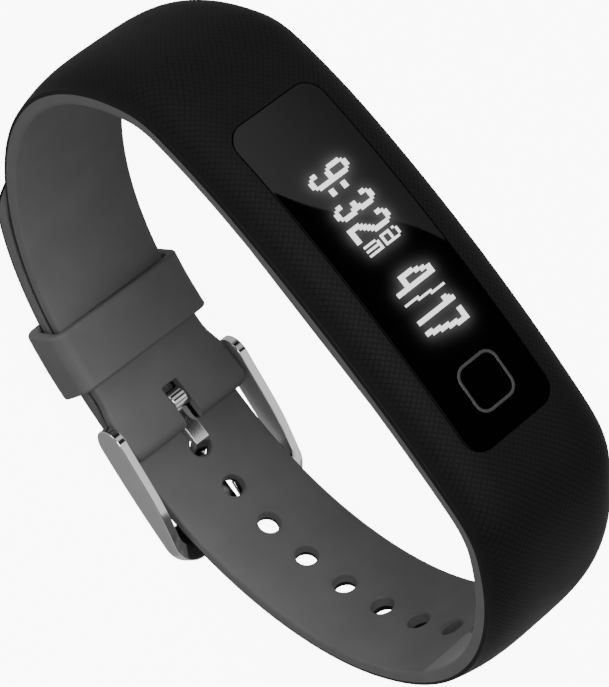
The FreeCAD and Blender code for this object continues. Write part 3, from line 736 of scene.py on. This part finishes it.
# Shader maths: expressions on a wrapped socket add their Math nodes
class Wire:
    def __init__(self, finish, socket):
        self.finish = finish
        self.socket = socket

    def maths(self, operation, *others, clamp=False):
        values = dict(enumerate((self,) + others))
        return self.finish.add("ShaderNodeMath", {"operation": operation, "use_clamp": clamp}, values)

    def __add__(self, other):
        return self.maths("ADD", other)

    def __radd__(self, other):
        return self.maths("ADD", other)

    def __sub__(self, other):
        return self.maths("SUBTRACT", other)

    def __rsub__(self, other):
        return self.finish.add("ShaderNodeMath", {"operation": "SUBTRACT"}, {0: other, 1: self})

    def __mul__(self, other):
        return self.maths("MULTIPLY", other)

    def __rmul__(self, other):
        return self.maths("MULTIPLY", other)

    def __truediv__(self, other):
        return self.maths("DIVIDE", other)

    def least(self, other):
        return self.maths("MINIMUM", other)

    def most(self, other):
        return self.maths("MAXIMUM", other)

    def size(self):
        return self.maths("ABSOLUTE")

    def toLine(self, period):
        # distance to the nearest multiple of the period
        return self.maths("PINGPONG", period / 2)

    def step(self, low, high, start=0.0, end=1.0):
        values = {"Value": self, "From Min": low, "From Max": high, "To Min": start, "To Max": end}
        return self.finish.add("ShaderNodeMapRange", {"interpolation_type": "SMOOTHSTEP"}, values)


# A node tree filled by add: an input takes a wire or a plain value
class NodeSheet:
    def __init__(self, owner):
        owner.use_nodes = True
        self.tree = owner.node_tree
        self.tree.nodes.clear()

    def add(self, kind, settings=None, inputs=None, output=0):
        node = self.tree.nodes.new(kind)
        for name, value in (settings or {}).items():
            if name == "stops":
                self.setStops(node.color_ramp, value)
            else:
                setattr(node, name, value)
        for name, value in (inputs or {}).items():
            if isinstance(value, Wire):
                self.tree.links.new(value.socket, node.inputs[name])
            else:
                node.inputs[name].default_value = value
        return Wire(self, node.outputs[output]) if node.outputs else None

    def setStops(self, ramp, stops):
        for place, colour in stops[len(ramp.elements):]:
            ramp.elements.new(place)
        for element, (place, colour) in zip(ramp.elements, stops):
            element.position = place
            element.color = colour


class Finish(NodeSheet):
    def __init__(self, name, **constants):
        self.material = bpy.data.materials.new(name)
        super().__init__(self.material)
        values = {socket.replace("_", " "): value for socket, value in constants.items()}
        surface = self.add("ShaderNodeBsdfPrincipled", {}, values)
        self.shader = surface.socket.node
        self.add("ShaderNodeOutputMaterial", {}, {"Surface": surface})

    def feed(self, **wires):
        for socket, wire in wires.items():
            self.tree.links.new(wire.socket, self.shader.inputs[socket.replace("_", " ")])

    def place(self, scale=(1.0, 1.0, 1.0)):
        # the object's own coordinates, in millimetres before the scale
        where = self.add("ShaderNodeTexCoord", output="Object")
        factor = tuple(s / mm for s in scale)
        return self.add("ShaderNodeVectorMath", {"operation": "MULTIPLY"}, {0: where, 1: factor})

    def noise(self, where, scale, detail=3.0, roughness=0.5):
        values = {"Vector": where, "Scale": scale, "Detail": detail, "Roughness": roughness}
        return self.add("ShaderNodeTexNoise", {"noise_dimensions": "3D"}, values)

    def tint(self, factor, first, second):
        colours = {0: factor, 6: first, 7: second}
        return self.add("ShaderNodeMix", {"data_type": "RGBA"}, colours, output=2)

    def bump(self, height, distance, strength=1.0):
        values = {"Strength": strength, "Distance": distance * mm, "Height": height}
        return self.add("ShaderNodeBump", {}, values)

    def spread(self, wire):
        # the three parts of a vector
        first = self.add("ShaderNodeSeparateXYZ", {}, {0: wire})
        return [Wire(self, socket) for socket in first.socket.node.outputs]

    def evenly(self, wire):
        # one value as a grey
        return self.add("ShaderNodeCombineXYZ", {}, {0: wire, 1: wire, 2: wire})


def grey(level, warmth=0.0):
    return (level * (1 + warmth), level, level * (1 - warmth), 1.0)


siliconePlan = {
    "knurlPitch": 0.46,          # mm between grooves
    "grooveWidth": 0.1,
    "blackFace": grey(0.0075),
    # painted shade: the knurl's grooves get a darker black than its raised faces
    "blackGroovePaintedShade": grey(0.0028),
    "grey": grey(0.118),
    "greyPale": grey(0.132),
}


def blackSilicone():
    plan = siliconePlan
    finish = Finish("blackSilicone", Specular_IOR_Level=0.1)
    where = finish.add("ShaderNodeAttribute", {"attribute_name": "bandPlace"}, output="Vector")
    along, across, share = finish.spread(where)
    diagonal = plan["knurlPitch"] * math.sqrt(2.0)
    half = plan["grooveWidth"] * math.sqrt(2.0) / 2
    first = (along + across).toLine(diagonal).step(half * 0.5, half * 1.6)
    second = (along - across).toLine(diagonal).step(half * 0.5, half * 1.6)
    raised = first.least(second)
    knurled = share.step(0.9, 0.975, 1.0, 0.0)
    raised = 1 - (1 - raised) * knurled
    spot = finish.place()
    cloud = finish.noise(spot, 0.35, 4.0)
    grain = finish.noise(spot, 14.0, 3.0, 0.7)
    worn = finish.noise(spot, 1.7, 5.0, 0.65).step(0.56, 0.72)
    edge = share.step(0.93, 1.0)
    # painted shade in the knurl's grooves: the raised mask mixes the darker groove black into the colour
    colour = finish.tint(raised, plan["blackGroovePaintedShade"], plan["blackFace"])
    colour = finish.tint(cloud * 0.35, colour, grey(0.011, 0.01))
    colour = finish.tint(edge * worn * 0.35, colour, grey(0.02))
    roughness = 0.5 + cloud * 0.1 + grain * 0.08 - edge * 0.06
    height = raised * 0.02 + grain * 0.004
    finish.feed(Base_Color=colour, Roughness=roughness, Normal=finish.bump(height, 1.0))
    return finish.material


def greySilicone():
    plan = siliconePlan
    finish = Finish("greySilicone", Specular_IOR_Level=0.3)
    spot = finish.place()
    cloud = finish.noise(spot, 0.22, 4.0, 0.55)
    grain = finish.noise(spot, 11.0, 3.0, 0.7)
    dust = finish.noise(spot, 2.6, 6.0, 0.7).step(0.6, 0.78)
    colour = finish.tint(cloud.step(0.35, 0.7), plan["grey"], plan["greyPale"])
    colour = finish.tint(dust * 0.12, colour, grey(0.2, 0.02))
    colour = finish.tint(grain.step(0.55, 0.75) * 0.12, colour, grey(0.08))
    roughness = 0.56 + cloud * 0.1 + dust * 0.08
    height = grain * 0.005 + cloud * 0.01
    finish.feed(Base_Color=colour, Roughness=roughness, Normal=finish.bump(height, 1.0))
    return finish.material


steelPlan = {
    "bright": grey(0.86, 0.004),
    "satin": grey(0.55, 0.004),
    "polishedRoughness": 0.09,
    "satinRoughness": 0.5,
}


def polishedSteel():
    # polished all round; the flat outer sides, which face along the band's width, are satin
    plan = steelPlan
    finish = Finish("polishedSteel", Metallic=1.0)
    spot = finish.place()
    smear = finish.noise(spot, 0.6, 3.0)
    scratch = finish.noise(finish.place((0.9, 14.0, 14.0)), 1.0, 4.0, 0.7)
    blast = finish.noise(spot, 9.0, 4.0, 0.75)
    fine = finish.noise(spot, 26.0, 2.0, 0.6)
    facing = finish.add("ShaderNodeTexCoord", output="Normal")
    satin = finish.spread(facing)[1].size().step(0.9, 0.97)
    marks = scratch.step(0.6, 0.8)
    colour = finish.tint(satin, plan["bright"], plan["satin"])
    colour = finish.tint(blast.step(0.4, 0.7) * satin * 0.3, colour, grey(0.3))
    colour = finish.tint(smear.step(0.5, 0.8) * 0.15, colour, grey(0.7, 0.02))
    roughness = plan["polishedRoughness"] + satin * plan["satinRoughness"] + marks * 0.06 + smear * 0.06
    height = satin * (blast * 0.012 + fine * 0.004) + marks * (1 - satin) * 0.0012
    finish.feed(Base_Color=colour, Roughness=roughness, Normal=finish.bump(height, 1.0))
    return finish.material


def speckled(name, colour, other, roughness, metallic=0.0, scale=6.0, spread=0.5, rough=0.12,
             bumpHeight=0.004, stretch=(1.0, 1.0, 1.0), **constants):
    # a general moulded, rolled or plated finish: cloudy tint, fine grain and small scuffs
    finish = Finish(name, Metallic=metallic, **constants)
    spot = finish.place(stretch)
    cloud = finish.noise(spot, scale * 0.15, 4.0)
    grain = finish.noise(spot, scale, 4.0, 0.65)
    scuff = finish.noise(spot, scale * 0.6, 6.0, 0.75).step(0.62, 0.75)
    base = finish.tint(cloud.step(0.3, 0.7) * spread, colour, other)
    base = finish.tint(scuff * 0.2, base, other)
    finish.feed(Base_Color=base, Roughness=roughness + (grain - 0.5) * rough + scuff * rough,
                Normal=finish.bump(grain * bumpHeight - scuff * bumpHeight, 1.0))
    return finish.material


def circuitBoard():
    # dark solder mask over a mesh of tracks, with plated dots
    finish = Finish("circuitBoard", Specular_IOR_Level=0.45)
    spot = finish.place()
    x, y = finish.spread(spot)[:2]
    bend = finish.noise(spot, 0.5, 1.0)
    tracks = (y + (bend.step(0.46, 0.54)) * 0.45).toLine(0.45).step(0.05, 0.09, 1.0, 0.0)
    cross = (x + bend.step(0.4, 0.6) * 0.7).toLine(1.9).step(0.05, 0.09, 1.0, 0.0)
    dotX, dotY = x.toLine(1.7), (y + 0.3).toLine(1.3)
    dots = (dotX * dotX + dotY * dotY).step(0.012, 0.024, 1.0, 0.0)
    copper = tracks.most(cross)
    grain = finish.noise(spot, 20.0, 2.0)
    colour = finish.tint(copper, (0.004, 0.03, 0.014, 1.0), (0.012, 0.075, 0.032, 1.0))
    colour = finish.tint(dots, colour, (0.7, 0.52, 0.2, 1.0))
    finish.feed(Base_Color=colour, Metallic=dots, Roughness=0.42 - dots * 0.15 + grain * 0.1,
                Normal=finish.bump(copper * 0.02 + dots * 0.02, 1.0))
    return finish.material


def coverGlass():
    # dark glass; the halo round the lit characters comes from the lens's own glow values
    finish = Finish("coverGlass", Emission_Strength=1.0, Specular_IOR_Level=0.5, IOR=1.5)
    spot = finish.place()
    smear = finish.noise(spot, 0.25, 4.0, 0.6)
    fleck = finish.noise(spot, 5.0, 5.0, 0.75).step(0.72, 0.8)
    glow = finish.add("ShaderNodeAttribute", {"attribute_name": "glow"}, output="Fac")
    colour = finish.tint(fleck * 0.2, grey(0.0008), grey(0.004))
    finish.feed(Base_Color=colour, Roughness=0.03 + smear.step(0.5, 0.8) * 0.035 + fleck * 0.05,
                Emission_Color=finish.evenly(glow), Normal=finish.bump(smear * 0.0006, 1.0))
    return finish.material


def litDot():
    finish = Finish("litDot", Emission_Strength=1.0, Roughness=0.4, Specular_IOR_Level=0.0)
    spot = finish.place()
    grain = finish.noise(spot, 1.6, 2.0)
    light = finish.tint(grain, grey(1.7), grey(1.9))
    finish.feed(Base_Color=finish.tint(grain, grey(0.01), grey(0.02)), Emission_Color=light)
    return finish.material


slotFinishes = {
    "black_silicone": blackSilicone(),
    "grey_silicone": greySilicone(),
    "polished_steel": polishedSteel(),
    "spring_steel": speckled("springSteel", grey(0.5), grey(0.38), 0.25, 1.0, 12.0),
    "cover_lens": coverGlass(),
    "key_print": speckled("keyPrint", grey(0.04), grey(0.05), 0.45, 0.0, 9.0),
    "black_tape": speckled("blackTape", grey(0.012), grey(0.02), 0.6, 0.0, 8.0, bumpHeight=0.006),
    "copper": speckled("copper", (0.72, 0.34, 0.2, 1.0), (0.5, 0.2, 0.1, 1.0), 0.3, 1.0, 8.0),
    "case_plastic": speckled("casePlastic", grey(0.016), grey(0.024), 0.5, 0.0, 16.0, bumpHeight=0.008),
    "panel_glass": speckled("panelGlass", grey(0.006), grey(0.012), 0.12, 0.0, 3.0, bumpHeight=0.001),
    "flex_film": speckled("flexFilm", (0.42, 0.16, 0.02, 1.0), (0.3, 0.1, 0.015, 1.0), 0.35, 0.0, 5.0),
    "circuit_board": circuitBoard(),
    "chip_resin": speckled("chipResin", grey(0.02), grey(0.032), 0.55, 0.0, 18.0, bumpHeight=0.006),
    "small_part_ceramic": speckled("ceramic", (0.3, 0.22, 0.14, 1.0), (0.5, 0.45, 0.4, 1.0), 0.4,
                                   scale=7.0),
    "battery_foil": speckled("batteryFoil", grey(0.5), grey(0.36), 0.38, 1.0, 2.2, bumpHeight=0.03),
    "foam": speckled("foam", grey(0.05), grey(0.02), 0.9, 0.0, 9.0, bumpHeight=0.08),
    "motor_can": speckled("motorCan", grey(0.62), grey(0.48), 0.28, 1.0, 5.0, stretch=(1, 6, 1)),
    "seal_rubber": speckled("sealRubber", (0.25, 0.03, 0.02, 1.0), (0.16, 0.02, 0.015, 1.0), 0.6,
                            scale=9.0),
    "screw_steel": speckled("screwSteel", grey(0.55), grey(0.42), 0.24, 1.0, 10.0),
    "gold_plate": speckled("goldPlate", (0.86, 0.6, 0.24, 1.0), (0.7, 0.46, 0.16, 1.0), 0.2, 1.0, 7.0),
}


def dress(made, material):
    made.data.materials.clear()
    made.data.materials.append(material)


def dressNode(node, material):
    # a carried-over node keeps its mesh and takes a finish in its material slot
    if not node.material_slots:
        node.data.materials.append(material)
    for spot in node.material_slots:
        spot.link = "OBJECT"
        spot.material = material


slotOfNode = {part["node"]: part["material_slot"] for part in frame["record"]["subparts"]}
for name, node in frame["nodes"].items():
    dressNode(node, slotFinishes[slotOfNode[name]])
for node, made in softPieces.items():
    dress(made, slotFinishes[slotOfNode[node]])
dress(skin, slotFinishes["black_silicone"])
dress(lining, slotFinishes["grey_silicone"])
dress(lens, slotFinishes["cover_lens"])
dress(keyRing, slotFinishes["key_print"])
dress(characterPiece, litDot())
print("finishes made:", len(slotFinishes) + 1)


# Studio: pale floor, soft lights, a card whose mirror image lies on the lens, and cards for the steel
studioPlan = {
    "floorHalf": 1.5,
    "floorColour": grey(0.9),
    "floorGlow": 9.0,
    "lights": (                  # direction it comes from, distance, size (m), power (W)
        ("keyLight", (0.1, -0.25, 1.0), 0.55, 0.3, 2.7),
        ("fillLight", (-0.9, -0.25, 0.7), 0.6, 0.35, 1.0),
        ("backLight", (-0.2, 1.0, 0.28), 0.6, 0.3, 0.12),
    ),
    "skyBright": 0.47,
    "skyDark": 0.01,
    "skyHeights": (0.3, 0.62),   # share of the way up where it is bright, and where it is dark
    "cardDistance": 260.0,       # mm from the lens
    "cardGlow": (0.8, 0.35),     # at its near and far edge
    "cardCurve": (-5.2, 0.86, 0.012),    # where its edge lies on the lens: x = a + b y + c y^3
    "cardStart": -20.5,          # x of its other edge, past the lens's end
    "cardHalf": 5.6,
    "cardRows": 28,
    "cardColumns": 8,
    "steelCardHeight": -2.0,     # small white cards inside the loop that only reflections show
    "steelCardGlow": 0.85,
    # each card's low and high x, low and high y
    "steelCards": ((2.0, 70.0, -8.0, 11.5), (2.0, 15.5, 11.5, 18.5), (2.0, 70.0, 18.5, 40.0)),
}


def lensNormal(x, y):
    step = 0.05
    slopeX = (surfaceZ(x + step, y) - surfaceZ(x - step, y)) / (2 * step)
    slopeY = (surfaceZ(x, y + step) - surfaceZ(x, y - step)) / (2 * step)
    return Vector((-slopeX, -slopeY, 1.0)).normalized()


def hideFromAllButReflections(card):
    card.visible_camera = False
    card.visible_shadow = False
    card.visible_diffuse = False


def makeCard(plan):
    # a soft white card above and behind, cut so that its mirror image covers one end of the lens
    eye = bpy.context.scene.camera.matrix_world.translation / mm
    middle = Vector((crownX, 0.0, surfaceZ(crownX, 0.0)))
    towards = (middle - eye).normalized()
    away = (towards - 2 * towards.z * Vector((0, 0, 1))).normalized()

    def mirrored(fromMiddle, y):
        x = crownX + fromMiddle
        point = Vector((x, y, surfaceZ(x, y)))
        look = (point - eye).normalized()
        normal = lensNormal(x, y)
        out = look - 2 * look.dot(normal) * normal
        return point + out * ((plan["cardDistance"] - (point - middle).dot(away)) / out.dot(away))

    base, slope, bend = plan["cardCurve"]
    near, far = plan["cardGlow"]
    start, columns = plan["cardStart"], plan["cardColumns"]
    vertices, levels = [], []
    for row in range(plan["cardRows"] + 1):
        share = row / plan["cardRows"]
        y = plan["cardHalf"] * (2.0 * share - 1.0)
        edge = base + slope * y + bend * y ** 3
        for k in range(columns + 1):
            vertices.append(mirrored(start + (edge - start) * k / columns, y))
            levels.append(near + (far - near) * share)
    faces = []
    for row in range(plan["cardRows"]):
        for k in range(columns):
            first = (columns + 1) * row + k
            faces.append((first, first + 1, first + columns + 2, first + columns + 1))
    card = newObject("reflectorCard", vertices, faces)
    finish = Finish("reflectorCard", Base_Color=grey(0.0), Specular_IOR_Level=0.0, Emission_Strength=1.0)
    glow = card.data.attributes.new("cardGlow", "FLOAT", "POINT")
    glow.data.foreach_set("value", levels)
    level = finish.add("ShaderNodeAttribute", {"attribute_name": "cardGlow"}, output="Fac")
    finish.feed(Emission_Color=finish.evenly(level))
    dress(card, finish.material)
    hideFromAllButReflections(card)


def makeSteelCards(plan):
    height = plan["steelCardHeight"]
    vertices, faces = [], []
    for x0, x1, y0, y1 in plan["steelCards"]:
        first = len(vertices)
        vertices += [(x0, y0, height), (x1, y0, height), (x1, y1, height), (x0, y1, height)]
        faces.append((first, first + 1, first + 2, first + 3))
    cards = newObject("steelCards", vertices, faces)
    finish = Finish("steelCards", Base_Color=grey(0.0), Specular_IOR_Level=0.0,
                    Emission_Color=grey(plan["steelCardGlow"]), Emission_Strength=1.0)
    dress(cards, finish.material)
    hideFromAllButReflections(cards)


def makeFloor(plan):
    half = plan["floorHalf"] / mm
    low = cadLow.z / mm
    corners = [(-half, -half, low), (half, -half, low), (half, half, low), (-half, half, low)]
    floor = newObject("floor", corners, [(0, 1, 2, 3)])
    finish = Finish("paleFloor", Base_Color=plan["floorColour"], Roughness=0.9, Specular_IOR_Level=0.0,
                    Emission_Color=grey(1.0), Emission_Strength=plan["floorGlow"])
    dress(floor, finish.material)
    floor.visible_diffuse = False
    floor.visible_glossy = False


def makeLights(plan):
    for name, direction, distance, size, power in plan["lights"]:
        light = bpy.data.lights.new(name, "AREA")
        light.shape = "SQUARE"
        light.size = size
        light.energy = power
        lamp = bpy.data.objects.new(name, light)
        bpy.context.scene.collection.objects.link(lamp)
        away = Vector(direction).normalized()
        lamp.location = away * distance
        lamp.rotation_euler = away.to_track_quat("Z", "Y").to_euler()


def makeSky(plan):
    # bright all round and below, dark overhead, so that the lens stays black
    world = bpy.data.worlds.new("studio")
    sky = NodeSheet(world)
    where = sky.add("ShaderNodeTexCoord", output="Generated")
    height = sky.add("ShaderNodeSeparateXYZ", {}, {0: where}, output=2)
    bright, dark = plan["skyHeights"]
    stops = ((bright, grey(plan["skyBright"])), (dark, grey(plan["skyDark"])))
    shade = sky.add("ShaderNodeValToRGB", {"stops": stops}, {0: height})
    sky.add("ShaderNodeOutputWorld", {}, {0: sky.add("ShaderNodeBackground", {}, {0: shade})})
    bpy.context.scene.world = world


makeFloor(studioPlan)
makeLights(studioPlan)
makeSky(studioPlan)
makeCard(studioPlan)
makeSteelCards(studioPlan)
print("studio made")
